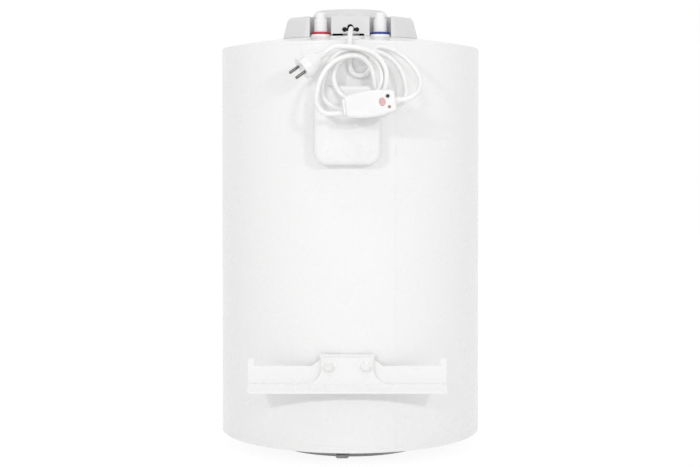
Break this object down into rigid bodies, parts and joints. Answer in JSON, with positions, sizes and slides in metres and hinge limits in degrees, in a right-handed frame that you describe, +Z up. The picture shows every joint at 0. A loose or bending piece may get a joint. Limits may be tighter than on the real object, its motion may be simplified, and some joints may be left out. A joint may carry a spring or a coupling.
{
  "type": "wall-hung storage water heater",
  "caption": "Cylindrical wall-hung storage water heater standing on its closed end, with pipes, electric cover, wall bracket and a coiled supply cord with safety switch and plug.",
  "frame": {"origin": "centre of the flat face of the round disc it stands on", "axes": "+Z up along the drum's axis towards the pipes and the electric cover, -Y towards the wall it hangs on, +X to the right seen from the wall side"},
  "size_m": [0.45, 0.5374, 0.757],
  "materials": {
    "white_enamel_sheet": "gloss white paint on sheet steel",
    "white_cap": "gloss white moulded plastic",
    "cover_plastic": "satin light grey-white moulded plastic",
    "grey_disc": "dull dark grey plastic",
    "foam": "rigid foam",
    "tank_enamel": "enamelled steel",
    "zinc_steel": "zinc plated steel",
    "stainless": "stainless steel",
    "element_copper": "copper sheath",
    "magnesium": "bare magnesium",
    "gasket_rubber": "black rubber",
    "red_plastic": "red plastic",
    "blue_plastic": "blue plastic",
    "white_plastic": "white moulded plastic",
    "white_cord": "white vinyl cord sheath",
    "dark_plastic": "black plastic",
    "pink_button": "translucent red plastic",
    "lens_tint": "smoky pink lens",
    "lamp_lens": "orange-red lens",
    "clear_glass": "clear glass",
    "dial_white": "white dial",
    "board_green": "circuit board",
    "brass_pin": "nickel brass",
    "nickel_pin": "nickel plated pins",
    "thermostat_plastic": "black moulded plastic",
    "wire_blue": "insulated wire"
  },
  "bodies": {
    "heater": {"outer_casing": "white_enamel_sheet", "closed_end_cap": "white_cap", "end_disc": "grey_disc", "connection_end_cap": "white_cap", "inner_tank": "tank_enamel", "insulation_foam": "foam", "hot_outlet_pipe": "zinc_steel", "cold_inlet_pipe": "zinc_steel", "hot_standpipe": "stainless", "cold_diffuser": "white_plastic", "red_ring": "red_plastic", "blue_ring": "blue_plastic", "flange_gasket": "gasket_rubber", "heater_flange": "zinc_steel", "flange_bolts": "zinc_steel", "heating_element": "element_copper", "magnesium_anode": "magnesium", "anode_nut": "zinc_steel", "probe_pocket": "stainless", "thermostat": "thermostat_plastic", "thermal_cutout": "thermostat_plastic", "terminal_block": "white_plastic", "terminal_screws": "brass_pin", "internal_wires": "wire_blue", "electric_cover": "cover_plastic", "cover_screws": "zinc_steel", "pilot_lens": "lamp_lens", "pilot_neon": "clear_glass", "thermometer_can": "stainless", "thermometer_dial": "dial_white", "thermometer_lens": "clear_glass", "thermometer_bezel": "white_plastic", "wall_bracket": "white_enamel_sheet", "bracket_anchors": "zinc_steel", "bracket_washers": "zinc_steel", "bracket_bolts": "zinc_steel", "wall_spacer": "white_plastic", "spacer_screws": "zinc_steel", "supply_cord": "white_cord", "plug_cord": "white_cord", "cord_clamp": "dark_plastic", "clamp_screws": "zinc_steel", "switch_back_shell": "white_plastic", "switch_front_shell": "white_plastic", "switch_sleeves": "white_cord", "status_lens": "lens_tint", "switch_board": "board_green", "switch_relay": "dark_plastic", "plug_body": "white_plastic", "plug_relief": "white_cord", "plug_pins": "nickel_pin", "earth_contacts": "nickel_pin"},
    "knob": {"thermostat_knob": "cover_plastic", "thermostat_spindle": "white_plastic"},
    "needle": {"thermometer_needle": "red_plastic"},
    "cutout_reset": {"cutout_reset_button": "red_plastic"},
    "test_push": {"test_button": "pink_button"},
    "reset_push": {"reset_button": "dark_plastic"},
    "hot_plug": {"hot_transport_plug": "white_plastic"},
    "cold_plug": {"cold_transport_plug": "white_plastic"}
  },
  "joints": [
    {"name": "knob_turn", "type": "hinge", "parent": "heater", "child": "knob", "pos_m": [0, 0, 0.7433], "axis": [0, 0, 1], "range_deg": [0, 270]},
    {"name": "needle_turn", "type": "hinge", "parent": "heater", "child": "needle", "pos_m": [0, 0.2283, 0.6], "axis": [0, -1, 0], "range_deg": [0, 240], "stiffness_Nm_per_rad": 0.0005},
    {"name": "cutout_push", "type": "slide", "parent": "heater", "child": "cutout_reset", "axis": [0, 0, -1], "range_m": [0, 0.0015], "stiffness_N_per_m": 400},
    {"name": "test_push", "type": "slide", "parent": "heater", "child": "test_push", "axis": [0, 1, 0], "range_m": [0, 0.0012], "stiffness_N_per_m": 800},
    {"name": "reset_push", "type": "slide", "parent": "heater", "child": "reset_push", "axis": [0, 1, 0], "range_m": [0, 0.0012], "stiffness_N_per_m": 800},
    {"name": "hot_plug_pull", "type": "slide", "parent": "heater", "child": "hot_plug", "axis": [0, 0, 1], "range_m": [0, 0.03]},
    {"name": "cold_plug_pull", "type": "slide", "parent": "heater", "child": "cold_plug", "axis": [0, 0, 1], "range_m": [0, 0.03]}
  ]
}
